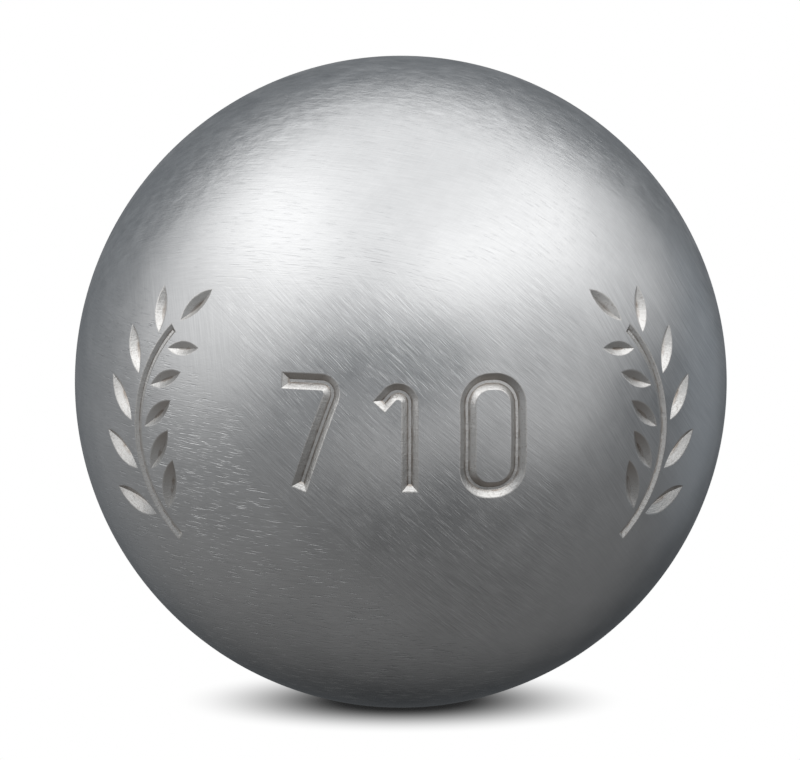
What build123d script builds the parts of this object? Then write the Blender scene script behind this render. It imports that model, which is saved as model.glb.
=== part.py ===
from build123d import *
import os
from math import acos, atan, atan2, cos, degrees, pi, radians, sin, sqrt, tan

# A hollow steel petanque boule: two stamped half shells, welded together at the equator of the ball and
# turned to one true sphere, with a number and leaf branches cut into the skin.
# Millimetres. The origin is the centre of the ball, +Z is up, and the number faces -Y.
# The weld lies in the XZ plane, so the front half shell is the one with y < 0.

# The ball
DIAMETER = 74.0
WALL = 6.227                # gives 710 g in steel of 7850 kg/m3
RADIUS = DIAMETER / 2
CAVITY = RADIUS - WALL
CENTRE = Vector(0, 0, 0)

# The weld: a V between the two bevelled rims, flush outside, with a low root bead inside
ROOT_GAP = 1.0
ROOT_FACE = 1.5             # square edge left below the bevel
BEVEL_ANGLE = 30.0          # of each rim, from the square edge
ROOT_WIDTH = 4.0
ROOT_HEIGHT = 0.8

# The cutter: V grooves with a narrow flat bottom and a small break along each lip
GROOVE_SLOPE = 40.0
TIP_HALF_WIDTH = 0.15       # of the flat at the bottom of a groove
LEAF_SLOPE = 34.0
LIP_DEPTH = 0.08
LIP_SLOPE = 22.0
CUTTER_RISE = 0.05          # how far a cutter stands above the skin
RUN_OUT = 1.5               # how far a groove runs past its end before the end is cut

# The number, 710, drawn on the centre lines of its strokes
DIGIT_DEPTH = 0.74          # down to where the two walls would meet, as for the stem
DIGIT_HALF_HEIGHT = 6.05
DIGIT_PITCH = 10.3
CORNER_RADIUS = 1.3
ZERO_HALF_WIDTH = 2.9
ZERO_CORNER_RADIUS = 2.6
SEVEN_HALF_WIDTH = 3.2
SEVEN_FOOT = -1.2
ONE_STEM = 1.0
ONE_FLAG = (-2.4, 3.5)
ONE_PEAK = 7.3              # height of the corner above the stem, before it is rounded

# A leaf branch: a stem bowed away from the number, with pairs of leaves and one at its tip
STEM_EAST = 33.5            # of the middle of the stem, along the skin from the front
STEM_BOW = 4.5              # how much nearer the number its two ends are
STEM_LOW = -13.5
STEM_HIGH = 10.5
STEM_DEPTH = 0.5
LEAF_PAIRS = 5
LEAF_LENGTH = 7.2           # of the lowest outer leaf
LEAF_TAPER = 0.72           # length of the top leaf over that of the lowest
LEAF_WIDTH_SHARE = 0.34
INNER_LEAF_SHARE = 0.86     # length of a leaf inside the bow over that of its outer twin
OUTER_LEAF_ANGLE = 42.0     # between a leaf and the stem
INNER_LEAF_ANGLE = 52.0
LEAF_CLEARANCE = 1.25       # from the stem's centre line to the foot of a leaf
FIRST_LEAF = 0.09           # along the stem, as a share of its length
LAST_LEAF = 0.88


def unit(vector):
    return vector.normalized()


def spot(east, north):
    """The direction of a point on the skin, in mm along the skin from the front of the ball."""
    azimuth = east / RADIUS
    latitude = north / RADIUS
    return Vector(cos(latitude) * sin(azimuth), -cos(latitude) * cos(azimuth), sin(latitude))


def turned(vector, axis, angle):
    """A vector turned about an axis through the centre, by an angle in radians."""
    aside = axis.cross(vector)
    return vector * cos(angle) + aside * sin(angle) + axis * axis.dot(vector) * (1 - cos(angle))


def angle_about(axis, start, end):
    """The counter-clockwise angle about an axis from one direction to another, in radians."""
    from_axis = start - axis * axis.dot(start)
    across = axis.cross(start)
    return atan2(end.dot(across), end.dot(from_axis)) % (2 * pi)


def swept(outline, axis, start, angle):
    """A section, drawn as (left of the path, outwards) from the skin, carried round an axis."""
    heading = unit(axis.cross(start))
    left = start.cross(heading)
    plane = Plane(origin=start * RADIUS, x_dir=left, z_dir=heading)
    section = plane * make_face(Polyline(*outline, close=True))
    return revolve(section, Axis(CENTRE, axis), degrees(angle))


def groove_outline(depth):
    """A groove with two sloping walls, a flat bottom and broken lips."""
    bottom = depth - TIP_HALF_WIDTH * tan(radians(GROOVE_SLOPE))
    wall_top = (depth - LIP_DEPTH) / tan(radians(GROOVE_SLOPE))
    lip_top = wall_top + (LIP_DEPTH + CUTTER_RISE) / tan(radians(LIP_SLOPE))
    return [
        (TIP_HALF_WIDTH, -bottom),
        (wall_top, -LIP_DEPTH),
        (lip_top, CUTTER_RISE),
        (-lip_top, CUTTER_RISE),
        (-wall_top, -LIP_DEPTH),
        (-TIP_HALF_WIDTH, -bottom),
    ]


def end_wedge(end, heading, depth):
    """What a groove leaves standing at its end: a sloping face like its walls, with the same lip."""
    bottom = 2 * depth
    top = 2 * CUTTER_RISE
    far_side = 2 * RUN_OUT
    half_width = 4 * depth
    wall_top = LIP_DEPTH / tan(radians(GROOVE_SLOPE))
    lip_top = (LIP_DEPTH + CUTTER_RISE) / tan(radians(LIP_SLOPE)) - wall_top
    outline = [
        (-bottom / tan(radians(GROOVE_SLOPE)), -bottom),
        (-wall_top, -LIP_DEPTH),
        (lip_top, CUTTER_RISE),
        (lip_top, top),
        (far_side, top),
        (far_side, -bottom),
    ]
    plane = Plane(origin=end * RADIUS, x_dir=heading, z_dir=heading.cross(end))
    section = plane * make_face(Polyline(*outline, close=True))
    return extrude(section, amount=half_width, both=True)


def rounded_corner(before, corner, after, radius):
    """The two tangent points of a rounded corner on the skin, and the axis that its arc turns about."""
    pole_in = unit(before.cross(corner))
    pole_out = unit(corner.cross(after))
    half_turn = acos(pole_in.dot(pole_out)) / 2
    left_turn = pole_in.cross(pole_out).dot(corner) > 0
    offset = sin(radius / RADIUS) * (1 if left_turn else -1)
    across = unit(pole_in + pole_out) * (offset / cos(half_turn))
    middle = across + corner * sqrt(1 - across.dot(across))
    start = unit(middle - pole_in * offset)
    end = unit(middle - pole_out * offset)
    return start, end, middle if left_turn else -middle


def chain(points, radius, depth, closed=False):
    """A groove along great circles between points on the skin, with rounded corners."""
    outline = groove_outline(depth)
    count = len(points)
    corners = range(count) if closed else range(1, count - 1)
    turns = [rounded_corner(points[i - 1], points[i], points[(i + 1) % count], radius) for i in corners]
    starts = [end for start, end, axis in turns]
    ends = [start for start, end, axis in turns]
    if closed:
        ends = ends[1:] + ends[:1]
    else:
        run_out = RUN_OUT / RADIUS
        starts = [turned(points[0], unit(points[0].cross(points[1])), -run_out)] + starts
        ends = ends + [turned(points[-1], unit(points[-2].cross(points[-1])), run_out)]
    pieces = []
    for start, end in zip(starts, ends):
        axis = unit(start.cross(end))
        pieces.append(swept(outline, axis, start, angle_about(axis, start, end)))
    for start, end, axis in turns:
        pieces.append(swept(outline, axis, start, angle_about(axis, start, end)))
    groove = pieces[0].fuse(*pieces[1:])
    if closed:
        return groove
    first_heading = unit(points[0].cross(points[1])).cross(points[0])
    last_heading = unit(points[-2].cross(points[-1])).cross(points[-1])
    return groove - end_wedge(points[0], -first_heading, depth) - end_wedge(points[-1], last_heading, depth)


def digit_points(east, points):
    return [spot(east + x, y) for x, y in points]


def number():
    """The strokes of 710."""
    top = DIGIT_HALF_HEIGHT
    seven = [(-SEVEN_HALF_WIDTH, top), (SEVEN_HALF_WIDTH, top), (SEVEN_FOOT, -top)]
    one = [ONE_FLAG, (ONE_STEM, ONE_PEAK), (ONE_STEM, -top)]
    zero = [
        (-ZERO_HALF_WIDTH, -top),
        (ZERO_HALF_WIDTH, -top),
        (ZERO_HALF_WIDTH, top),
        (-ZERO_HALF_WIDTH, top),
    ]
    return [
        chain(digit_points(-DIGIT_PITCH, seven), CORNER_RADIUS, DIGIT_DEPTH),
        chain(digit_points(0, one), CORNER_RADIUS, DIGIT_DEPTH),
        chain(digit_points(DIGIT_PITCH, zero), ZERO_CORNER_RADIUS, DIGIT_DEPTH, closed=True),
    ]


def leaf(foot, tip, width):
    """A V-cut leaf between two points on the skin: where two broad cutters overlap."""
    centre = unit(foot + tip)
    along = unit(tip - foot)
    side = centre.cross(along)
    half_length = acos(foot.dot(tip)) / 2
    half_width = width / 2 / RADIUS
    inset = atan((cos(half_width) - cos(half_length)) / sin(half_width))
    reach = atan(tan(half_length) / sin(inset)) + RUN_OUT / RADIUS
    depth = width * tan(radians(LEAF_SLOPE))
    wall_top = LIP_DEPTH / tan(radians(LEAF_SLOPE))
    lip_top = (LIP_DEPTH + CUTTER_RISE) / tan(radians(LIP_SLOPE)) - wall_top
    far_side = width + RUN_OUT
    outline = [
        (width, -depth),
        (wall_top, -LIP_DEPTH),
        (-lip_top, CUTTER_RISE),
        (far_side, CUTTER_RISE),
        (far_side, -depth),
    ]
    halves = []
    for edge in (side, -side):
        axis = unit(centre * cos(inset) - edge * sin(inset))
        edge_point = unit(centre * cos(half_width) + edge * sin(half_width))
        start = turned(edge_point, axis, -reach)
        halves.append(swept(outline, axis, start, 2 * reach))
    return halves[0] & halves[1]


def ahead(place, heading, distance):
    """The point that lies a distance along the skin from a place, in a heading."""
    return place * cos(distance / RADIUS) + heading * sin(distance / RADIUS)


def branch(hand):
    """A stem with its leaves, on the right of the number for hand 1 and on the left for hand -1."""
    low = spot(hand * (STEM_EAST - STEM_BOW), STEM_LOW)
    middle = spot(hand * STEM_EAST, (STEM_LOW + STEM_HIGH) / 2)
    high = spot(hand * (STEM_EAST - STEM_BOW), STEM_HIGH)
    axis = unit((middle - low).cross(high - middle))
    sweep = angle_about(axis, low, high)
    run_out = RUN_OUT / RADIUS
    stem = swept(groove_outline(STEM_DEPTH), axis, turned(low, axis, -run_out), sweep + 2 * run_out)
    top_heading = unit(axis.cross(high))
    foot_heading = -unit(axis.cross(low))
    stem = stem - end_wedge(low, foot_heading, STEM_DEPTH) - end_wedge(high, top_heading, STEM_DEPTH)

    top_length = LEAF_LENGTH * LEAF_TAPER
    top_foot = ahead(high, top_heading, LEAF_CLEARANCE)
    top_tip = ahead(high, top_heading, LEAF_CLEARANCE + top_length)
    cuts = [stem, leaf(top_foot, top_tip, top_length * LEAF_WIDTH_SHARE)]
    sides = [(-hand, radians(OUTER_LEAF_ANGLE), 1), (hand, radians(INNER_LEAF_ANGLE), INNER_LEAF_SHARE)]
    for pair in range(LEAF_PAIRS):
        share = pair / (LEAF_PAIRS - 1)
        place = turned(low, axis, sweep * (FIRST_LEAF + (LAST_LEAF - FIRST_LEAF) * share))
        along = unit(axis.cross(place))
        for left, lean, length_share in sides:
            length = (LEAF_LENGTH + (top_length - LEAF_LENGTH) * share) * length_share
            heading = along * cos(lean) + place.cross(along) * (left * sin(lean))
            foot_reach = LEAF_CLEARANCE / sin(lean)
            foot = ahead(place, heading, foot_reach)
            tip = ahead(place, heading, foot_reach + length)
            cuts.append(leaf(foot, tip, length * LEAF_WIDTH_SHARE))
    return cuts


def plain_half_shell():
    """The front half of the hollow ball, with its rim cut square at the root and bevelled above it."""
    root = ROOT_GAP / 2
    bevel_foot = CAVITY + ROOT_FACE
    outside = RADIUS + WALL
    bevel_top = root + (outside - bevel_foot) * tan(radians(BEVEL_ANGLE))
    rim = make_face(Polyline(
        (0, -root),
        (bevel_foot, -root),
        (outside, -bevel_top),
        (outside, -outside),
        (0, -outside),
        close=True,
    ))
    keep = revolve(rim, Axis.Y)
    return (Sphere(RADIUS) - Sphere(CAVITY)) & keep


def weld_bead():
    """The ring of weld metal, which fills the V and covers the edges of the cavity on both sides."""
    def on_circle(radius, y):
        return Vector(sqrt(radius ** 2 - y ** 2), y)

    root = ROOT_GAP / 2
    side = ROOT_WIDTH / 2
    bevel_foot = Vector(CAVITY + ROOT_FACE, root)
    bevel_line = Vector(cos(radians(BEVEL_ANGLE)), sin(radians(BEVEL_ANGLE)))
    nearest = bevel_foot.dot(bevel_line)
    bevel_length = sqrt(nearest ** 2 - bevel_foot.dot(bevel_foot) + RADIUS ** 2) - nearest
    bevel_top = bevel_foot + bevel_line * bevel_length
    upper_half = [
        Line(bevel_top, bevel_foot),
        Line(bevel_foot, on_circle(CAVITY, root)),
        ThreePointArc(on_circle(CAVITY, root), on_circle(CAVITY, (root + side) / 2), on_circle(CAVITY, side)),
    ]
    lower_half = [mirror(edge, about=Plane.XZ) for edge in upper_half]
    skin = ThreePointArc(bevel_top, (RADIUS, 0), (bevel_top.X, -bevel_top.Y))
    root_bead = ThreePointArc(on_circle(CAVITY, side), (CAVITY - ROOT_HEIGHT, 0), on_circle(CAVITY, -side))
    return revolve(make_face([skin, root_bead] + upper_half + lower_half), Axis.Y)


branches = branch(1) + branch(-1)
plain = plain_half_shell()
front_half_shell = plain.cut(*number(), *branches)
rear_half_shell = plain.cut(*branches).rotate(Axis.Z, 180)

os.makedirs("parts", exist_ok=True)
export_step(front_half_shell, "parts/front_half_shell.step")
export_step(rear_half_shell, "parts/rear_half_shell.step")
export_step(weld_bead(), "parts/weld_bead.step")
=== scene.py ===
from math import acos, atan, atan2, ceil, cos, pi, radians, sin, sqrt, tan

import bmesh
import bpy
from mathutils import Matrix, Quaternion, Vector
from mathutils.bvhtree import BVHTree
from mathutils.geometry import delaunay_2d_cdt
from mathutils.kdtree import KDTree


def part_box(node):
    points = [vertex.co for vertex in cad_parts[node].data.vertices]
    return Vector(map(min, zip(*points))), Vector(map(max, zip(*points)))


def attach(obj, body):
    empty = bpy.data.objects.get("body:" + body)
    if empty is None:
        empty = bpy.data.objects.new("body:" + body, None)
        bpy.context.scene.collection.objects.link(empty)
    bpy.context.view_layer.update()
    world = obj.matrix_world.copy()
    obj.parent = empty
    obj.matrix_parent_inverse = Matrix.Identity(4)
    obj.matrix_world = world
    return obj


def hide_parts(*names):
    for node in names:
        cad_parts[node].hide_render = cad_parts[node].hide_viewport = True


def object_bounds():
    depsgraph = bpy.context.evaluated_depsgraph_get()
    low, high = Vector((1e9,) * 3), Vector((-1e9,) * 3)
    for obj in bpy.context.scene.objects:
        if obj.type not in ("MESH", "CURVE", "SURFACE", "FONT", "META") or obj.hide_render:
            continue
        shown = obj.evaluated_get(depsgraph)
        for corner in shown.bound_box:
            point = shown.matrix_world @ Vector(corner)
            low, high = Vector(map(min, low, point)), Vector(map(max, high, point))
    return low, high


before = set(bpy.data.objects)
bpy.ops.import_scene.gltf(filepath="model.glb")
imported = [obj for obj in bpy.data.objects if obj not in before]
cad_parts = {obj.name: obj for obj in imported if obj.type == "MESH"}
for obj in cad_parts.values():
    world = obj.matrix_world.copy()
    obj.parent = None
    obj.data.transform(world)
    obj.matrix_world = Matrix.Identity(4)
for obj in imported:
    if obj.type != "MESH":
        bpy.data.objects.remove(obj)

# A brushed steel petanque boule on a white table, under wide soft light.
# Its shapes are drawn in millimetres and its looks are set in metres, both from the centre of the ball.
# +Z is up, and the engraved number faces -Y.

cad_box = [list(corner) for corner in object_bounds()]

MM = 0.001
FRONT = "front_half_shell"
REAR = "rear_half_shell"
BEAD = "weld_bead"


def distances(node):
    """How far a solid's corners lie from the centre of the ball."""
    return [vertex.co.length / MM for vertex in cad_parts[node].data.vertices]


# The ball and its weld, measured on the solids
RADIUS = max(distances(FRONT))
CAVITY = min(distances(FRONT))
ROOT_CREST = min(distances(BEAD))
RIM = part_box(BEAD)[1].y / MM               # half the width of the weld on the skin
ROOT = -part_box(FRONT)[1].y / MM            # half the gap at its root
ROOT_FACE = 1.5
ROOT_HALF_WIDTH = 2.0

# The cutter
GROOVE_SLOPE = tan(radians(40))
LEAF_SLOPE = tan(radians(34))
LIP_SLOPE = tan(radians(22))
LIP_DEPTH = 0.08
TIP_HALF_WIDTH = 0.15       # of the flat that the worn tip of the cutter leaves

# The number
DIGIT_DEPTH = 0.74
DIGIT_HALF_HEIGHT = 6.05
DIGIT_PITCH = 10.3
CORNER_RADIUS = 1.3
ZERO_HALF_WIDTH = 2.9
ZERO_CORNER_RADIUS = 2.6
SEVEN_HALF_WIDTH = 3.2
SEVEN_FOOT = -1.2
ONE_STEM = 1.0
ONE_FLAG = (-2.4, 3.5)
ONE_PEAK = 7.3

# The leaf branches
STEM_EAST = 33.5
STEM_BOW = 4.5
STEM_LOW = -13.5
STEM_HIGH = 10.5
STEM_DEPTH = 0.5
LEAF_PAIRS = 5
LEAF_LENGTH = 7.2
LEAF_TAPER = 0.72
LEAF_WIDTH_SHARE = 0.34
INNER_LEAF_SHARE = 0.86
OUTER_LEAF_ANGLE = radians(42)
INNER_LEAF_ANGLE = radians(52)
LEAF_CLEARANCE = 1.25
FIRST_LEAF = 0.09
LAST_LEAF = 0.88

# The fineness of the meshes
GROOVE_STEP = 0.2
TURN_STEP = radians(6)
LEAF_STEPS = 32
LIP_STEPS = 5
ROUND_STEPS = 360
CAVITY_STEPS = 24
TILE = 0.6
TILE_CLEARANCE = 0.28
ROOT_STEPS = 12
SHARP_ANGLE = radians(15)
HALVINGS = 40               # of a step, to find the end of a leaf
LIP_ROUNDS = 8              # to find where a lip meets the skin
MERGE_DISTANCE = 0.0005
FLAT_TOLERANCE = 1e-6
PROBE_HEIGHT = 1.0          # over the skin, from where a probe looks for a cut below
PROBE_LENGTH = 4.0

# The materials of a piece, in the order of its slots
SKIN, CUT, BEVEL, INSIDE = range(4)


def spot(east, north):
    """The direction of a point on the skin, in mm along the skin from the front of the ball."""
    azimuth = east / RADIUS
    latitude = north / RADIUS
    return Vector((cos(latitude) * sin(azimuth), -cos(latitude) * cos(azimuth), sin(latitude)))


def turned(vector, axis, angle):
    return Quaternion(axis, angle) @ vector


def angle_about(axis, start, end):
    """The counter-clockwise angle about an axis from one direction to another."""
    from_axis = start - axis * axis.dot(start)
    across = axis.cross(start)
    return atan2(end.dot(across), end.dot(from_axis)) % (2 * pi)


def ahead(place, heading, distance):
    """The point that lies a distance along the skin from a place, in a heading."""
    return place * cos(distance / RADIUS) + heading * sin(distance / RADIUS)


def rounded_corner(before, corner, after, radius):
    """The arc that rounds a corner on the skin, as an axis, a start and an angle, and its end."""
    pole_in = before.cross(corner).normalized()
    pole_out = corner.cross(after).normalized()
    half_turn = acos(pole_in.dot(pole_out)) / 2
    left_turn = pole_in.cross(pole_out).dot(corner) > 0
    offset = sin(radius / RADIUS) * (1 if left_turn else -1)
    across = (pole_in + pole_out).normalized() * (offset / cos(half_turn))
    middle = across + corner * sqrt(1 - across.dot(across))
    start = (middle - pole_in * offset).normalized()
    end = (middle - pole_out * offset).normalized()
    axis = middle if left_turn else -middle
    return (axis, start, angle_about(axis, start, end)), end


def straight(start, end):
    axis = start.cross(end).normalized()
    return axis, start, angle_about(axis, start, end)


def stroke(points, radius, closed=False):
    """A line along great circles between points on the skin, with rounded corners, as a list of arcs."""
    count = len(points)
    corners = range(count) if closed else range(1, count - 1)
    arcs = []
    place = None if closed else points[0]
    for i in corners:
        arc, end = rounded_corner(points[i - 1], points[i], points[(i + 1) % count], radius)
        if place is not None:
            arcs.append(straight(place, arc[1]))
        arcs.append(arc)
        place = end
    arcs.append(straight(place, arcs[0][1] if closed else points[-1]))
    return arcs


def trimmed(arcs, length):
    """Arcs with a length along the skin taken off both ends."""
    angle = length / RADIUS
    axis, start, sweep = arcs[0]
    rate = axis.cross(start).length
    arcs = [(axis, turned(start, axis, angle / rate), sweep - angle / rate)] + arcs[1:]
    axis, start, sweep = arcs[-1]
    rate = axis.cross(start).length
    return arcs[:-1] + [(axis, start, sweep - angle / rate)]


def stations(arcs, closed):
    """Places along the arcs, each with its heading and its distance along them in mm."""
    found = []
    distance = 0.0
    for axis, start, sweep in arcs:
        length = sweep * axis.cross(start).length * RADIUS
        steps = ceil(max(length / GROOVE_STEP, sweep / TURN_STEP))
        for step in range(steps):
            place = turned(start, axis, sweep * step / steps)
            found.append((place, axis.cross(place).normalized(), distance + length * step / steps))
        distance += length
    if not closed:
        place = turned(start, axis, sweep)
        found.append((place, axis.cross(place).normalized(), distance))
    return found


def rounded_lip(wall_top, slope):
    """The lip that rounds a wall into the skin, from the skin down, as distances from a cut and heights."""
    aside = wall_top
    for step in range(LIP_ROUNDS):
        height = sqrt(RADIUS ** 2 - aside ** 2) - RADIUS
        aside = wall_top + (height + LIP_DEPTH) / LIP_SLOPE
    first = Vector((aside, height))
    corner = Vector((wall_top + (height + LIP_DEPTH) / slope, height))
    last = Vector((wall_top, -LIP_DEPTH))
    lip = []
    for step in range(LIP_STEPS + 1):
        share = step / LIP_STEPS
        lip.append(first.lerp(corner, share).lerp(corner.lerp(last, share), share))
    return lip


class Shell:
    """A mesh under construction, in mm, which keeps how far along and how far down a cut each corner is."""

    def __init__(self):
        self.mesh = bmesh.new()
        self.along = self.mesh.verts.layers.float.new("along")
        self.down = self.mesh.verts.layers.float.new("down")

    def vertex(self, point, along=0.0, down=0.0):
        made = self.mesh.verts.new(point)
        made[self.along] = along
        made[self.down] = down
        return made

    def face(self, corners, material):
        made = self.mesh.faces.new(corners)
        made.material_index = material
        made.smooth = True

    def strips(self, rows, material, closed=False):
        """Faces between rows of corners."""
        following = rows[1:] + rows[:1] if closed else rows[1:]
        for row, next_row in zip(rows, following):
            for i in range(len(row) - 1):
                self.face([row[i], row[i + 1], next_row[i + 1], next_row[i]], material)


def groove(shell, arcs, depth, closed=False):
    """A V groove with rounded lips and a narrow flat bottom, and with a sloping face at each open end."""
    bottom = depth - TIP_HALF_WIDTH * GROOVE_SLOPE
    wall_top = (depth - LIP_DEPTH) / GROOVE_SLOPE
    lip = rounded_lip(wall_top, GROOVE_SLOPE)
    left_side = lip + [Vector((TIP_HALF_WIDTH, -bottom))]
    section = left_side + [Vector((-aside, height)) for aside, height in reversed(left_side)]

    def corner(place, heading, aside, height, along):
        point = place * (RADIUS + height) + place.cross(heading) * aside
        return shell.vertex(point, along, max(-height / bottom, 0))

    run = arcs if closed else trimmed(arcs, bottom / GROOVE_SLOPE)
    rows = []
    for place, heading, along in stations(run, closed):
        rows.append([corner(place, heading, aside, height, along) for aside, height in section])
    shell.strips(rows, CUT, closed)
    if closed:
        return
    first = arcs[0][1]
    first_heading = -arcs[0][0].cross(first).normalized()
    axis, start, sweep = arcs[-1]
    last = turned(start, axis, sweep)
    last_heading = axis.cross(last).normalized()
    for row, place, heading in ((rows[0][::-1], first, first_heading), (rows[-1], last, last_heading)):
        along = row[0][shell.along]
        left_lip = []
        right_lip = []
        for aside, height in lip:
            lip_place = ahead(place, heading, aside - wall_top - LIP_DEPTH / GROOVE_SLOPE)
            left_lip.append(corner(lip_place, heading, aside, height, along))
            right_lip.append(corner(lip_place, heading, -aside, height, along))
        left_row = row[:len(left_side)]
        right_row = row[:-len(left_side) - 1:-1]
        shell.strips([left_row[:-1], left_lip, right_lip, right_row[:-1]], CUT)
        shell.face([left_row[-2], left_row[-1], left_lip[-1]], CUT)
        shell.face([left_lip[-1], left_row[-1], right_row[-1], right_lip[-1]], CUT)
        shell.face([right_row[-1], right_row[-2], right_lip[-1]], CUT)


def leaf(shell, foot, tip, width):
    """A V-cut leaf between two points on the skin, which is hollowed towards its midrib."""
    centre = (foot + tip).normalized()
    along = (tip - foot).normalized()
    side = centre.cross(along)
    half_length = foot.angle(tip) / 2
    half_width = width / 2 / RADIUS
    inset = atan((cos(half_width) - cos(half_length)) / sin(half_width))
    depth = width / 2 * LEAF_SLOPE
    lip = rounded_lip(-LIP_DEPTH / LEAF_SLOPE, LEAF_SLOPE)
    profile = lip + [Vector((-width, -width * LEAF_SLOPE))]
    for edge in (side, -side):
        axis = (centre * cos(inset) - edge * sin(inset)).normalized()
        summit = (centre * cos(half_width) + edge * sin(half_width)).normalized()

        def above_midrib(angle, aside, height):
            """How far a point of the profile is from the midrib, at an angle along the edge of the leaf."""
            place = turned(summit, axis, angle)
            outward = axis.cross(place).normalized().cross(place)
            return (place * (RADIUS + height) + outward * aside).dot(edge)

        reach = 0.0
        step = half_length / sin(inset)
        for halving in range(HALVINGS):
            if above_midrib(reach + step, *lip[0]) > 0:
                reach += step
            step /= 2
        rows = []
        for i in range(LEAF_STEPS + 1):
            angle = reach * (2 * i / LEAF_STEPS - 1)
            section = [lip[0]]
            for upper, lower in zip(profile, profile[1:]):
                upper_gap = above_midrib(angle, *upper)
                lower_gap = above_midrib(angle, *lower)
                if lower_gap > 0:
                    section.append(lower)
                elif upper_gap > 0:
                    section.append(upper.lerp(lower, upper_gap / (upper_gap - lower_gap)))
                else:
                    section.append(section[-1])
            place = turned(summit, axis, angle)
            outward = axis.cross(place).normalized().cross(place)
            row = []
            for aside, height in section:
                corner = place * (RADIUS + height) + outward * aside
                row.append(shell.vertex(corner, corner.dot(along), max(-height / depth, 0)))
            rows.append(row)
        shell.strips(rows, CUT)


def number(shell):
    """The strokes of 710."""
    top = DIGIT_HALF_HEIGHT
    seven = [(-SEVEN_HALF_WIDTH, top), (SEVEN_HALF_WIDTH, top), (SEVEN_FOOT, -top)]
    one = [ONE_FLAG, (ONE_STEM, ONE_PEAK), (ONE_STEM, -top)]
    zero = [
        (-ZERO_HALF_WIDTH, -top),
        (ZERO_HALF_WIDTH, -top),
        (ZERO_HALF_WIDTH, top),
        (-ZERO_HALF_WIDTH, top),
    ]
    digits = [
        (-DIGIT_PITCH, seven, CORNER_RADIUS),
        (0, one, CORNER_RADIUS),
        (DIGIT_PITCH, zero, ZERO_CORNER_RADIUS),
    ]
    for east, points, radius in digits:
        closed = points is zero
        line = stroke([spot(east + x, y) for x, y in points], radius, closed)
        groove(shell, line, DIGIT_DEPTH, closed)


def branch(shell, hand):
    """A stem with its leaves, on the right of the number for hand 1 and on the left for hand -1."""
    low = spot(hand * (STEM_EAST - STEM_BOW), STEM_LOW)
    middle = spot(hand * STEM_EAST, (STEM_LOW + STEM_HIGH) / 2)
    high = spot(hand * (STEM_EAST - STEM_BOW), STEM_HIGH)
    axis = (middle - low).cross(high - middle).normalized()
    sweep = angle_about(axis, low, high)
    groove(shell, [(axis, low, sweep)], STEM_DEPTH)

    top_length = LEAF_LENGTH * LEAF_TAPER
    top_heading = axis.cross(high).normalized()
    top_foot = ahead(high, top_heading, LEAF_CLEARANCE)
    top_tip = ahead(high, top_heading, LEAF_CLEARANCE + top_length)
    leaf(shell, top_foot, top_tip, top_length * LEAF_WIDTH_SHARE)
    sides = [(-hand, OUTER_LEAF_ANGLE, 1), (hand, INNER_LEAF_ANGLE, INNER_LEAF_SHARE)]
    for pair in range(LEAF_PAIRS):
        share = pair / (LEAF_PAIRS - 1)
        place = turned(low, axis, sweep * (FIRST_LEAF + (LAST_LEAF - FIRST_LEAF) * share))
        along = axis.cross(place).normalized()
        for left, lean, length_share in sides:
            length = (LEAF_LENGTH + (top_length - LEAF_LENGTH) * share) * length_share
            heading = along * cos(lean) + place.cross(along) * (left * sin(lean))
            foot_reach = LEAF_CLEARANCE / sin(lean)
            foot = ahead(place, heading, foot_reach)
            tip = ahead(place, heading, foot_reach + length)
            leaf(shell, foot, tip, length * LEAF_WIDTH_SHARE)


def ring(shell, radius, y):
    """A circle of corners about the Y axis, or one corner on the axis itself."""
    if radius == 0:
        return [shell.vertex((0, y, 0))] * ROUND_STEPS
    turns = [2 * pi * step / ROUND_STEPS for step in range(ROUND_STEPS)]
    return [shell.vertex((radius * cos(turn), y, radius * sin(turn))) for turn in turns]


def band(shell, first, second, material):
    """Faces between two circles of corners."""
    for i in range(ROUND_STEPS):
        j = (i + 1) % ROUND_STEPS
        corners = list(dict.fromkeys([first[i], first[j], second[j], second[i]]))
        shell.face(corners, material)


def on_sphere(radius, y):
    return sqrt(max(radius ** 2 - y ** 2, 0.0)), y


def rim_and_cavity(shell):
    """The bevelled rim of the front half shell and its hollow inside."""
    outer = ring(shell, *on_sphere(RADIUS, -RIM))
    foot = ring(shell, CAVITY + ROOT_FACE, -ROOT)
    inner = ring(shell, *on_sphere(CAVITY, -ROOT))
    band(shell, outer, foot, BEVEL)
    band(shell, foot, inner, BEVEL)
    first_angle = acos(ROOT / CAVITY)
    for step in range(1, CAVITY_STEPS + 1):
        angle = first_angle * (1 - step / CAVITY_STEPS)
        radius = CAVITY * sin(angle) if step < CAVITY_STEPS else 0
        next_ring = ring(shell, radius, -CAVITY * cos(angle))
        band(shell, inner, next_ring, INSIDE)
        inner = next_ring


def lattice():
    """Even points over the front half of the skin, as a spiral of directions."""
    count = round(4 * pi * RADIUS ** 2 / TILE ** 2)
    golden_turn = pi * (3 - sqrt(5))
    for i in range(count // 2):
        y = -1 + (2 * i + 1) / count
        if y < -RIM / RADIUS:
            ring_radius = sqrt(1 - y * y)
            yield Vector((ring_radius * cos(golden_turn * i), y, ring_radius * sin(golden_turn * i)))


def chart(direction):
    """A direction laid out flat, in mm along the skin from the front of the ball."""
    aside = Vector((direction.x, direction.z))
    if aside.length == 0:
        return aside
    return aside.normalized() * (RADIUS * acos(max(-1.0, min(1.0, -direction.y))))


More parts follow.
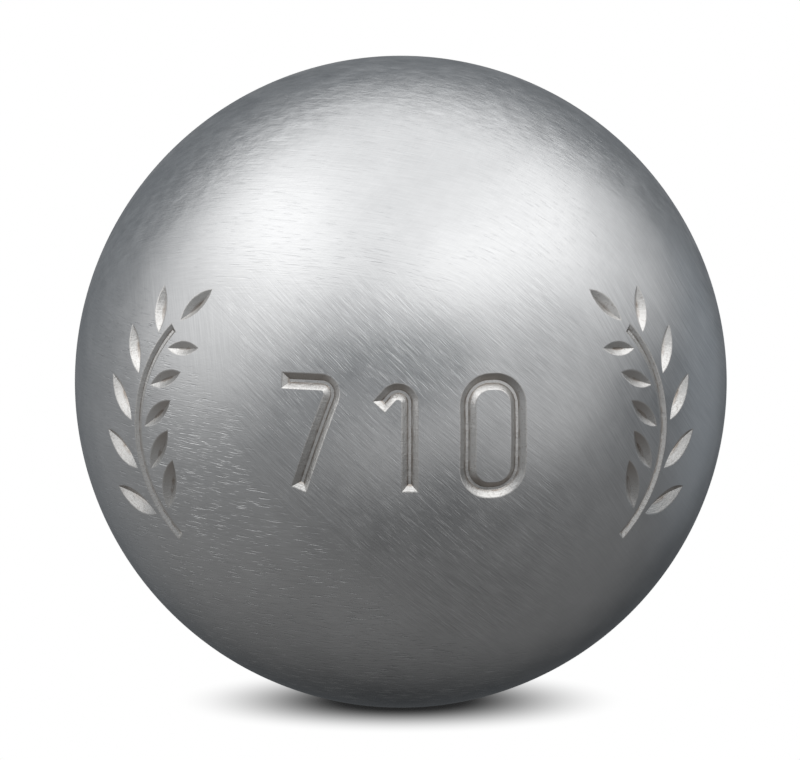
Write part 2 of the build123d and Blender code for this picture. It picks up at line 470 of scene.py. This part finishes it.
def skin(shell):
    """The polished sphere between the rim and the cuts, tiled evenly."""
    mesh = shell.mesh
    cuts = bmesh.new()
    for face in mesh.faces:
        if face.material_index == CUT:
            cuts.faces.new([cuts.verts.new(vertex.co) for vertex in face.verts])
    cut_tree = BVHTree.FromBMesh(cuts)
    cuts.free()

    edges = [edge for edge in mesh.edges if edge.is_boundary]
    corners = list(dict.fromkeys(vertex for edge in edges for vertex in edge.verts))
    places = {vertex: i for i, vertex in enumerate(corners)}
    directions = [vertex.co.normalized() for vertex in corners]
    near = KDTree(len(corners))
    for i, vertex in enumerate(corners):
        near.insert(vertex.co, i)
    near.balance()
    for direction in lattice():
        if near.find(direction * RADIUS)[2] > TILE_CLEARANCE:
            directions.append(direction)
    edge_places = [(places[edge.verts[0]], places[edge.verts[1]]) for edge in edges]
    flat = [chart(direction) for direction in directions]
    _, _, tiles, origins, _, _ = delaunay_2d_cdt(flat, edge_places, [], 0, FLAT_TOLERANCE)

    known = {}
    for tile in tiles:
        sources = [origins[i][0] for i in tile]
        middle = sum((directions[i] for i in sources), Vector()).normalized()
        if cut_tree.ray_cast(middle * (RADIUS + PROBE_HEIGHT), -middle, PROBE_LENGTH)[0]:
            continue
        tile_corners = []
        for i in sources:
            if i < len(corners):
                tile_corners.append(corners[i])
                continue
            if i not in known:
                known[i] = shell.vertex(directions[i] * RADIUS)
            tile_corners.append(known[i])
        shell.face(tile_corners, SKIN)


def finish_piece(name, node, shell, materials, turn=0.0):
    """Closes a mesh, turns it about Z to its place and puts it in the scene for a solid."""
    built = shell.mesh
    bmesh.ops.recalc_face_normals(built, faces=built.faces)
    for edge in built.edges:
        if edge.is_manifold and edge.calc_face_angle() > SHARP_ANGLE:
            edge.smooth = False
    to_place = Quaternion((0, 0, 1), turn).to_matrix().to_4x4() * MM
    to_place[3][3] = 1
    bmesh.ops.transform(built, matrix=to_place, verts=built.verts)
    data = bpy.data.meshes.new(name)
    built.to_mesh(data)
    built.free()
    normals = [Vector() for loop in data.loops]
    for polygon in data.polygons:
        if polygon.material_index == SKIN:
            for i in polygon.loop_indices:
                normals[i] = data.vertices[data.loops[i].vertex_index].co.normalized()
    data.normals_split_custom_set(normals)
    for material in materials:
        data.materials.append(material)
    piece = bpy.data.objects.new(name, data)
    bpy.context.collection.objects.link(piece)
    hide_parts(node)
    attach(piece, "root")


def half_shell(name, node, with_number, turn, materials):
    """A half shell with its engraving, turned about Z to its place."""
    shell = Shell()
    if with_number:
        number(shell)
    branch(shell, 1)
    branch(shell, -1)
    rim_and_cavity(shell)
    mesh = shell.mesh
    bmesh.ops.remove_doubles(mesh, verts=mesh.verts, dist=MERGE_DISTANCE)
    bmesh.ops.dissolve_degenerate(mesh, edges=mesh.edges, dist=MERGE_DISTANCE)
    skin(shell)
    finish_piece(name, node, shell, materials, turn)


def weld_ring(name, node, materials):
    """The weld: flush with the skin outside, and a low bead inside."""
    shell = Shell()
    skin_steps = ceil(2 * RIM / TILE)
    sagitta = sqrt(CAVITY ** 2 - ROOT_HALF_WIDTH ** 2) - ROOT_CREST
    crown = (sagitta ** 2 + ROOT_HALF_WIDTH ** 2) / (2 * sagitta)
    section = []
    for step in range(skin_steps + 1):
        section.append((*on_sphere(RADIUS, RIM * (2 * step / skin_steps - 1)), SKIN))
    section.append((CAVITY + ROOT_FACE, ROOT, BEVEL))
    section.append((*on_sphere(CAVITY, ROOT), BEVEL))
    for step in range(ROOT_STEPS + 1):
        y = ROOT_HALF_WIDTH * (1 - 2 * step / ROOT_STEPS)
        section.append((ROOT_CREST + crown - sqrt(crown ** 2 - y ** 2), y, INSIDE))
    section.append((*on_sphere(CAVITY, -ROOT), INSIDE))
    section.append((CAVITY + ROOT_FACE, -ROOT, BEVEL))
    rings = [ring(shell, radius, y) for radius, y, material in section]
    materials_between = [material for radius, y, material in section[1:]] + [BEVEL]
    for first, second, material in zip(rings, rings[1:] + rings[:1], materials_between):
        band(shell, first, second, material)
    finish_piece(name, node, shell, materials)


class Graph:
    """Adds nodes to a tree and joins them."""

    def __init__(self, tree):
        self.tree = tree

    def node(self, kind, inputs, **settings):
        made = self.tree.nodes.new(kind)
        for name, setting in settings.items():
            setattr(made, name, setting)
        self.join(made, inputs)
        return made

    def join(self, node, inputs):
        """Links each input of a node to a socket, or sets it to a value."""
        for name, source in inputs.items():
            if isinstance(source, bpy.types.NodeSocket):
                self.tree.links.new(source, node.inputs[name])
            else:
                node.inputs[name].default_value = source

    def math(self, operation, first, second=0.0, third=0.0, clamp=False):
        inputs = {0: first, 1: second, 2: third}
        return self.node("ShaderNodeMath", inputs, operation=operation, use_clamp=clamp).outputs[0]

    def ramp(self, source, low, high, bottom=0.0, top=1.0):
        """A smooth step of a value between two limits."""
        inputs = {"Value": source, "From Min": low, "From Max": high, "To Min": bottom, "To Max": top}
        return self.node("ShaderNodeMapRange", inputs, interpolation_type="SMOOTHSTEP").outputs[0]

    def noise(self, vector, scale=1.0, detail=2.0, roughness=0.5):
        inputs = {"Vector": vector, "Scale": scale, "Detail": detail, "Roughness": roughness}
        return self.node("ShaderNodeTexNoise", inputs).outputs[0]

    def mix(self, share, first, second):
        """A colour between two others."""
        inputs = {"Factor": share, "A": first, "B": second}
        return self.node("ShaderNodeMix", inputs, data_type="RGBA").outputs["Result"]

    def bump(self, height, distance, strength=1.0):
        inputs = {"Strength": strength, "Distance": distance, "Height": height}
        return self.node("ShaderNodeBump", inputs).outputs[0]


def new_material(name):
    material = bpy.data.materials.new(name)
    material.use_nodes = True
    graph = Graph(material.node_tree)
    shader = material.node_tree.nodes["Principled BSDF"]
    place = graph.node("ShaderNodeTexCoord", {}).outputs["Object"]
    return material, graph, shader, place


def lined(graph, place, axis, length, width, shift):
    """A place on the ball in units of a line's length and width, for lines that run round an axis."""
    turn = Vector(axis).to_track_quat("Z", "Y").to_euler()
    inputs = {
        "Vector": place,
        "Location": (shift, shift, shift),
        "Rotation": turn,
        "Scale": (length, length, width),
    }
    return graph.node("ShaderNodeMapping", inputs, vector_type="TEXTURE").outputs[0]


def share_along(graph, place, axis):
    """Where a place lies between the two poles of an axis, from -1 to 1."""
    inputs = {0: place, 1: Vector(axis).normalized() / (RADIUS * MM)}
    return graph.node("ShaderNodeVectorMath", inputs, operation="DOT_PRODUCT").outputs["Value"]


# The brushing: each pass shows in a zone and runs round an axis of the ball, with lines of a length and
# a width in metres, a depth in micrometres, and a contrast of colour. In the hairlines that contrast is
# painted shade in the low parts of the lines and painted light on the high parts; in the scratches it is a
# painted glint.
HAIRLINES = [
    ("diagonal", (0.95, 0, 1), 0.0042, 0.00009, 15.0, 1.6),
    ("diagonal", (0.85, 0, 1), 0.003, 0.000075, 8.0, 2.1),
    ("top", (0.25, 0.55, 1), 0.003, 0.00013, 18.0, 0.7),
    ("shoulder", (-0.1, -0.99, -0.14), 0.0022, 0.00012, 18.0, 0.8),
    ("low", (0.05, 0, 1), 0.0022, 0.00015, 18.0, 0.9),
    ("left", (1, 0, 0.12), 0.005, 0.00013, 14.0, 1.2),
    ("right", (1, 0, 0.55), 0.006, 0.00011, 16.0, 1.8),
    ("all", (0.5, 0.3, -0.8), 0.003, 0.00013, 4.0, 0.2),
]
SCRATCHES = [
    ("diagonal", (1, 0, 1.05), 0.0035, 0.00009, 9.0, 0.5),
    ("diagonal", (1, 0, 0.95), 0.002, 0.0001, 8.0, 0.4),
    ("top", (0.3, 0.55, 1), 0.0025, 0.00013, 9.0, 0.0),
    ("shoulder", (-0.05, -0.99, -0.14), 0.002, 0.00011, 9.0, 0.0),
    ("low", (0.07, 0, 1), 0.0022, 0.00014, 26.0, 0.2),
    ("low", (0.2, 0.1, 1), 0.0016, 0.00013, 14.0, 0.1),
    ("right", (1, 0, 0.5), 0.003, 0.0001, 9.0, 0.3),
]
PASS_SHIFT = 0.13           # between the noise of one pass and of the next
FIRST_SHIFT = 0.1
SCRATCH_EDGE = (0.62, 0.74)
MICROMETRE = 1e-6
NOISE_RANGE = (0.3, 0.7)

# Where the zones of the brushing begin and where they are at their full, as shares of the radius
ZONE_DRIFT = 0.5
DRIFT_SCALE = 80
TOP_EDGE = (0.33, 0.53)
SHOULDER_EDGE = (0.0, 0.3)
LOW_EDGE = (-0.24, -0.44)
RIGHT_EDGE = (0.4, 0.7)
LEFT_EDGE = (-0.44, -0.62)
FAINT_EDGE = (0.52, 0.78)
FAINT_SHARE = 0.25

# The scuffs on the upper right and on the upper left, each from a direction and the edge of its zone
SCUFF_AXIS = (0.3, 0.75, 0.6)
SCUFF_LENGTH = 0.0019
SCUFF_WIDTH = 0.001
SCUFF_SHIFT = 0.05
SCUFF_DEPTH = 75.0
SCUFF_CONTRAST = 2.1
SCUFFS_RIGHT = ((0.3, 0.4, 0.87), 0.5, 0.7)
SCUFFS_LEFT = ((-0.5, 0.35, 0.79), 0.54, 0.72)
SCUFFS_BEHIND = ((0, 1, 0), 0.5, 0.2)

# The colour and the gloss of the skin
PATCH_SCALE = 260
PATCH_CONTRAST = 0.5
SKIN_DARK = (0.47, 0.473, 0.478, 1)
SKIN_LIGHT = (0.68, 0.683, 0.687, 1)
SKIN_ROUGHNESS = (0.285, 0.335)

# The walls of the cuts, with depths in micrometres
LUMP_SCALE = 1100
LUMP_DEPTH = 45.0
GRAIN_SCALE = 5000
GRAIN_DEPTH = 16.0
MARK_SCALE = 5.0
MARK_DEPTH = 13.0
DRAWN_ALONG = 0.7
DRAWN_DOWN = 9.0
DRAWN_DEPTH = 20.0
# The darker brown beside the flat bottom of a cut: sooty, and painted shade in the deep part of the groove
SOOT_AND_SHADE_DRIFT = 0.5
SOOT_AND_SHADE_EDGE = (0.6, 1.0)
SOOT_AND_SHADE_BREAKS = (0.35, 0.62, 0.35, 1.0)
BOTTOM_EDGE = (1.0, 0.97)
FLECK_EDGE = (0.56, 0.7)
FLECK_SHARE = 0.42
# Painted shade on the walls that face down
UNDERSIDE_SHADE_EDGE = (-0.2, -0.6)
UNDERSIDE_SHADE_SHARE = 0.7
CUT_BARE = (0.62, 0.612, 0.6, 1)
# The brown of the flecks, of the sooty bottoms, and of the painted shade
CUT_DIRT_AND_SHADE = (0.33, 0.285, 0.25, 1)
CUT_ROUGHNESS = (0.28, 0.38)

# The faces that are hidden inside
RING_LENGTH = 0.02
RING_WIDTH = 0.00012
RING_SHIFT = 0.2
RING_DEPTH = 0.00003
BEVEL_GREY = (0.52, 0.52, 0.52, 1)
BEVEL_ROUGHNESS = (0.25, 0.4)
SCALE_DARK = (0.07, 0.065, 0.062, 1)
SCALE_LIGHT = (0.17, 0.15, 0.135, 1)
SCALE_PATCHES = 220
SCALE_EDGE = (0.35, 0.65)
SCALE_METALLIC = 0.4
SCALE_DEPTH = 0.0002
SCALE_STRENGTH = 0.6
SCALE_ROUGHNESS = (0.5, 0.75)


def zone_towards(graph, place, direction, edge, full):
    """The part of the ball that lies towards a direction, with a soft edge."""
    return graph.ramp(share_along(graph, place, direction), edge, full)


def brushing_zones(graph, place):
    """Where each pass of the brushing shows, from 0 to 1, by the name of its zone."""
    noise = graph.math("SUBTRACT", graph.noise(place, DRIFT_SCALE, detail=5, roughness=0.62), 0.5)
    drift = graph.math("MULTIPLY", noise, ZONE_DRIFT)
    height = graph.math("ADD", share_along(graph, place, (0, 0, 1)), drift)
    diagonal = graph.math("ADD", share_along(graph, place, (1, 0, 1)), drift)
    across = graph.math("ADD", share_along(graph, place, (1, 0, 0)), drift)
    top = graph.ramp(height, *TOP_EDGE)
    shoulder = graph.math("MULTIPLY", graph.ramp(across, *SHOULDER_EDGE), top)
    below = graph.math("SUBTRACT", 1.0, top)
    low = graph.math("MULTIPLY", graph.ramp(diagonal, *LOW_EDGE), below)
    between = graph.math("SUBTRACT", below, low, clamp=True)
    right = graph.math("MULTIPLY", graph.ramp(across, *RIGHT_EDGE), below)
    left = graph.math("MULTIPLY", graph.ramp(across, *LEFT_EDGE), between)
    sides = graph.math("ADD", right, left)
    middle = graph.math("SUBTRACT", between, sides, clamp=True)
    faint = graph.ramp(share_along(graph, place, (1, 0, -1)), *FAINT_EDGE, 1.0, FAINT_SHARE)
    return {
        "top": graph.math("SUBTRACT", top, shoulder),
        "shoulder": shoulder,
        "low": low,
        "left": left,
        "right": graph.math("MULTIPLY", right, faint),
        "diagonal": graph.math("MULTIPLY", middle, faint),
        "all": 1.0,
    }


def scuff_rise(graph, place):
    """The rise of the scuffs on both shoulders, which fade out behind."""
    upper_right = zone_towards(graph, place, *SCUFFS_RIGHT)
    upper_left = zone_towards(graph, place, *SCUFFS_LEFT)
    not_behind = zone_towards(graph, place, *SCUFFS_BEHIND)
    scuffed = graph.math("MULTIPLY", graph.math("MAXIMUM", upper_right, upper_left), not_behind)
    along_scuffs = lined(graph, place, SCUFF_AXIS, SCUFF_LENGTH, SCUFF_WIDTH, SCUFF_SHIFT)
    scuffs = graph.noise(along_scuffs, detail=5, roughness=0.66)
    return graph.math("MULTIPLY", graph.math("SUBTRACT", scuffs, 0.5), scuffed)


def brushed_skin():
    """Satin steel, brushed by hand in passes that cross each other, and scuffed on both shoulders, with
    painted shade and light along the hairlines and painted glints along the scratches.
    """
    material, graph, shader, place = new_material("brushed_steel")
    zones = brushing_zones(graph, place)
    patches = graph.noise(place, PATCH_SCALE, detail=3, roughness=0.6)
    rise = scuff_rise(graph, place)
    height = graph.math("MULTIPLY", rise, SCUFF_DEPTH)
    shade = graph.math("MULTIPLY_ADD", patches, PATCH_CONTRAST, (1 - PATCH_CONTRAST) / 2)
    shade = graph.math("MULTIPLY_ADD", rise, SCUFF_CONTRAST, shade)
    shift = FIRST_SHIFT
    for zone, axis, length, width, depth, contrast in HAIRLINES:
        shift += PASS_SHIFT
        along_lines = lined(graph, place, axis, length, width, shift)
        lines = graph.noise(along_lines, detail=3, roughness=0.6)
        rise = graph.math("MULTIPLY", graph.math("SUBTRACT", lines, 0.5), zones[zone])
        height = graph.math("MULTIPLY_ADD", rise, depth, height)
        # Painted shade and light: the colour darkens with the low parts of each hairline and lightens with
        # the high parts.
        shade = graph.math("MULTIPLY_ADD", rise, contrast, shade)
    for zone, axis, length, width, depth, contrast in SCRATCHES:
        shift += PASS_SHIFT
        marks = graph.noise(lined(graph, place, axis, length, width, shift), detail=1)
        mark = graph.math("MULTIPLY", graph.ramp(marks, *SCRATCH_EDGE), zones[zone])
        height = graph.math("MULTIPLY_ADD", mark, -depth, height)
        # Painted glint: a scratch is made lighter along its cut.
        shade = graph.math("MULTIPLY_ADD", mark, contrast, shade)
    graph.join(shader, {
        "Metallic": 1.0,
        "Base Color": graph.mix(shade, SKIN_DARK, SKIN_LIGHT),
        "Roughness": graph.ramp(patches, *NOISE_RANGE, *SKIN_ROUGHNESS),
        "Normal": graph.bump(height, MICROMETRE),
    })
    return material


def cut_steel():
    """The uneven walls of the engraving, with cutter marks, brown flecks, sooty brown and painted shade
    beside the bottom of a cut, and painted shade on the walls that face down.
    """
    material, graph, shader, place = new_material("cut_steel")
    along = graph.node("ShaderNodeAttribute", {}, attribute_name="along").outputs["Fac"]
    down = graph.node("ShaderNodeAttribute", {}, attribute_name="down").outputs["Fac"]
    lumps = graph.noise(place, LUMP_SCALE)
    grain = graph.noise(place, GRAIN_SCALE)
    mark_inputs = {"W": along, "Scale": MARK_SCALE, "Detail": 4.0}
    marks = graph.node("ShaderNodeTexNoise", mark_inputs, noise_dimensions="1D").outputs[0]
    unrolled = {
        "X": graph.math("MULTIPLY", along, DRAWN_ALONG),
        "Y": graph.math("MULTIPLY", down, DRAWN_DOWN),
    }
    drawn = graph.noise(graph.node("ShaderNodeCombineXYZ", unrolled).outputs[0])
    layers = [(lumps, LUMP_DEPTH), (marks, MARK_DEPTH), (drawn, DRAWN_DEPTH), (grain, GRAIN_DEPTH)]
    height = 0.0
    for layer, depth in layers:
        height = graph.math("MULTIPLY_ADD", layer, depth, height)

    # Sooty brown and painted shade on the deep part of the walls, broken up by the lumps
    uneven = graph.math("MULTIPLY_ADD", graph.math("SUBTRACT", drawn, 0.5), SOOT_AND_SHADE_DRIFT, down)
    beside_bottom = graph.math("MULTIPLY", graph.ramp(uneven, *SOOT_AND_SHADE_EDGE), graph.ramp(down, *BOTTOM_EDGE))
    soot_and_painted_shade = graph.math("MULTIPLY", beside_bottom, graph.ramp(lumps, *SOOT_AND_SHADE_BREAKS))
    flecks = graph.math("MULTIPLY", graph.ramp(grain, *FLECK_EDGE), FLECK_SHARE)
    # Painted shade: walls that face downwards are made browner and darker.
    normal = graph.node("ShaderNodeNewGeometry", {}).outputs["Normal"]
    upright = graph.node("ShaderNodeVectorMath", {0: normal, 1: (0, 0, 1)}, operation="DOT_PRODUCT")
    painted_underside_shade = graph.ramp(upright.outputs["Value"], *UNDERSIDE_SHADE_EDGE, 0.0, UNDERSIDE_SHADE_SHARE)
    dirt_and_painted_shade = graph.math("MAXIMUM", graph.math("MAXIMUM", soot_and_painted_shade, flecks), painted_underside_shade)
    graph.join(shader, {
        "Metallic": 1.0,
        "Base Color": graph.mix(dirt_and_painted_shade, CUT_BARE, CUT_DIRT_AND_SHADE),
        "Roughness": graph.ramp(grain, *NOISE_RANGE, *CUT_ROUGHNESS),
        "Normal": graph.bump(height, MICROMETRE),
    })
    return material


def machined_bevel():
    """The turned faces under the weld, with fine rings from the lathe."""
    material, graph, shader, place = new_material("turned_bevel")
    rings = graph.noise(lined(graph, place, (0, 1, 0), RING_LENGTH, RING_WIDTH, RING_SHIFT))
    graph.join(shader, {
        "Metallic": 1.0,
        "Base Color": BEVEL_GREY,
        "Roughness": graph.ramp(rings, *NOISE_RANGE, *BEVEL_ROUGHNESS),
        "Normal": graph.bump(rings, RING_DEPTH),
    })
    return material


def forged_inside():
    """The stamped inside of a shell, grey-brown with scale."""
    material, graph, shader, place = new_material("forged_scale")
    patches = graph.noise(place, SCALE_PATCHES, detail=5, roughness=0.6)
    graph.join(shader, {
        "Metallic": SCALE_METALLIC,
        "Base Color": graph.mix(graph.ramp(patches, *SCALE_EDGE), SCALE_DARK, SCALE_LIGHT),
        "Roughness": graph.ramp(patches, *NOISE_RANGE, *SCALE_ROUGHNESS),
        "Normal": graph.bump(patches, SCALE_DEPTH, SCALE_STRENGTH),
    })
    return material


# The object
steel = [brushed_skin(), cut_steel(), machined_bevel(), forged_inside()]
half_shell("front_half", FRONT, True, 0.0, steel)
half_shell("rear_half", REAR, False, pi, steel)
weld_ring("weld_ring", BEAD, steel)


# The camera, at the photograph's angle
IMAGE_WIDTH = 800
BALL_RADIUS_PIXELS = 326.0
SENSOR_WIDTH = 36.0
CAMERA_RISE = radians(9.7)
CAMERA_DISTANCE = 0.9
AIM = Vector((-0.09, 0, 0.19)) * MM
camera_data = bpy.data.cameras.new("camera")
edge_slope = RADIUS * MM / sqrt(CAMERA_DISTANCE ** 2 - (RADIUS * MM) ** 2)
camera_data.sensor_width = SENSOR_WIDTH
camera_data.lens = SENSOR_WIDTH * BALL_RADIUS_PIXELS / edge_slope / IMAGE_WIDTH
camera = bpy.data.objects.new("camera", camera_data)
camera.location = AIM + Vector((0, -cos(CAMERA_RISE), sin(CAMERA_RISE))) * CAMERA_DISTANCE
camera.rotation_euler = (pi / 2 - CAMERA_RISE, 0, 0)
bpy.context.collection.objects.link(camera)
bpy.context.scene.camera = camera


# The table, white apart from a painted shadow under the ball, on which the ball's real shadow also falls
FLOOR_RADIUS = 3.0
FLOOR_STEPS = 128
SHADOW_START = 0.0068
SHADOW_END = 0.0258
SHADOW_SHAPE = (1.0, 1.42, 1.0)
SHADOW_GREY = (0.2, 0.2, 0.2, 1)


def table():
    """A wide round table under the ball."""
    mesh = bmesh.new()
    bmesh.ops.create_circle(mesh, cap_ends=True, segments=FLOOR_STEPS, radius=FLOOR_RADIUS)
    data = bpy.data.meshes.new("table")
    mesh.to_mesh(data)
    mesh.free()
    top = bpy.data.objects.new("table", data)
    top.location.z = cad_box[0][2]
    bpy.context.collection.objects.link(top)
    top.visible_glossy = False       # so the lower half of the ball stays dark
    material, graph, shader, place = new_material("white_table")
    graph.tree.nodes.remove(shader)
    shaped = graph.node("ShaderNodeVectorMath", {0: place, 1: SHADOW_SHAPE}, operation="MULTIPLY")
    length = graph.node("ShaderNodeVectorMath", {0: shaped.outputs["Vector"]}, operation="LENGTH")
    # The dark grey disc round the contact is a painted shadow; the ball's own shadow falls on it, and it
    # fades into white.
    painted_shadow_matt = graph.node("ShaderNodeBsdfDiffuse", {"Color": SHADOW_GREY})
    white = graph.node("ShaderNodeEmission", {"Color": (1, 1, 1, 1), "Strength": 1.0})
    fade = graph.ramp(length.outputs["Value"], SHADOW_START, SHADOW_END)
    mix = graph.node("ShaderNodeMixShader", {0: fade, 1: painted_shadow_matt.outputs[0], 2: white.outputs[0]})
    graph.join(graph.tree.nodes["Material Output"], {"Surface": mix.outputs[0]})
    data.materials.append(material)


table()


# The light: a dim bluish room with soft lights in it, each given by the direction of its middle, the angles
# from there between which it fades, and its brightness. The last two of the white ones are dark patches:
# the camera, and a gap in the light of the ceiling.
WHITE_LIGHTS = [
    ((0.0, -0.16, 0.99), 30, 68, 1.04),
    ((-0.83, -0.18, 0.52), 2, 49, 0.71),
    ((0.81, 0.22, 0.54), 2, 35, 0.68),
    ((0.63, -0.68, 0.37), 33, 48, 0.49),
    ((-0.06, -0.985, -0.12), 3, 29, 0.45),
    ((0.58, -0.17, -0.8), 19, 66, 0.16),
    ((-0.91, -0.14, -0.39), 2, 82, 0.24),
    ((0.125, -0.952, 0.275), 6, 19, -1.06),
    ((-0.06, 0.76, 0.65), 3, 17, -0.22),
]
COOL_LIGHTS = [
    ((0.72, 0.68, -0.12), 6, 26, 0.2),
    ((-0.6, 0.79, -0.1), 5, 35, 0.055),
]
WHITE = (1.008, 0.996, 0.982, 1)
COOL = (0.905, 0.985, 1.065, 1)
ROOM_BELOW = 0.026
ROOM_ABOVE = 0.26


def room():
    """The light that comes from each direction."""
    world = bpy.data.worlds.new("room")
    world.use_nodes = True
    bpy.context.scene.world = world
    graph = Graph(world.node_tree)
    direction = graph.node("ShaderNodeTexCoord", {}).outputs["Generated"]

    def facing(towards):
        inputs = {0: direction, 1: Vector(towards).normalized()}
        return graph.node("ShaderNodeVectorMath", inputs, operation="DOT_PRODUCT").outputs["Value"]

    def with_lights(level, lights):
        for towards, inner, outer, brightness in lights:
            lit = graph.ramp(facing(towards), cos(radians(outer)), cos(radians(inner)), 0.0, brightness)
            level = graph.math("ADD", level, lit)
        return level

    white_level = graph.math("MAXIMUM", with_lights(0.0, WHITE_LIGHTS), 0.0)
    cool_level = with_lights(graph.ramp(facing((0, 0, 1)), -1.0, 1.0, ROOM_BELOW, ROOM_ABOVE), COOL_LIGHTS)
    white = graph.node("ShaderNodeBackground", {"Color": WHITE, "Strength": white_level})
    cool = graph.node("ShaderNodeBackground", {"Color": COOL, "Strength": cool_level})
    both = graph.node("ShaderNodeAddShader", {0: white.outputs[0], 1: cool.outputs[0]})
    graph.join(graph.tree.nodes["World Output"], {"Surface": both.outputs[0]})
    graph.tree.nodes.remove(graph.tree.nodes["Background"])


room()

bpy.context.scene.view_settings.view_transform = "Standard"
